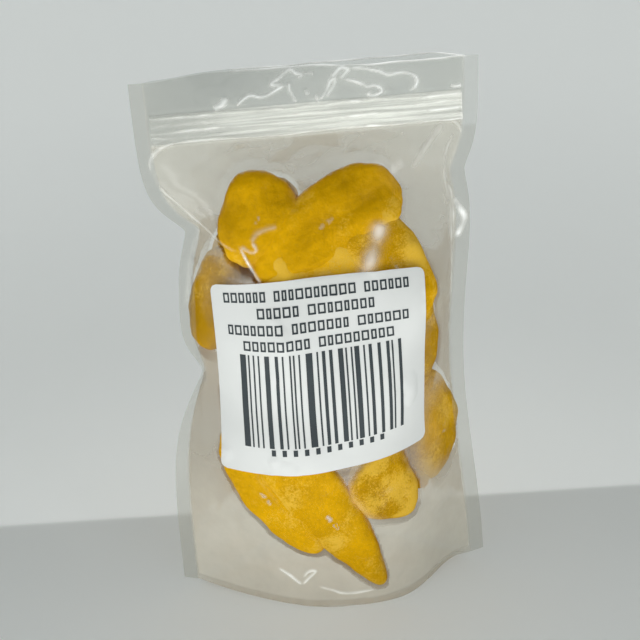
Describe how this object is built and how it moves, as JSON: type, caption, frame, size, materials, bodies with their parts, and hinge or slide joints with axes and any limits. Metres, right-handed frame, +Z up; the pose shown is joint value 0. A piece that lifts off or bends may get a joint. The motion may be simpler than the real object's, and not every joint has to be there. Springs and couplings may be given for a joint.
{
  "type": "pouch of frozen plantain slices",
  "caption": "Clear stand-up zip pouch with a plain printed label, filled with frozen fried ripe plantain slices.",
  "frame": {"origin": "on the floor, under the middle of the standing pouch's bounding box", "axes": "+Z up, along the pouch's height; -Y out of the labelled front; +X to the right of someone who looks at the front"},
  "size_m": [0.1517, 0.0788, 0.241],
  "materials": {
    "film": "clear, slightly hazy gloss film",
    "zip": "clear extruded ribs, satin",
    "label": "smooth matt white label paper",
    "print": "flat dark ink",
    "plantain": "frozen fried ripe plantain, satin with dull frost"
  },
  "bodies": {
    "root": {"pouch": "film", "label": "label", "zip_track_front": "zip", "zip_track_back": "zip"}
  },
  "joints": []
}
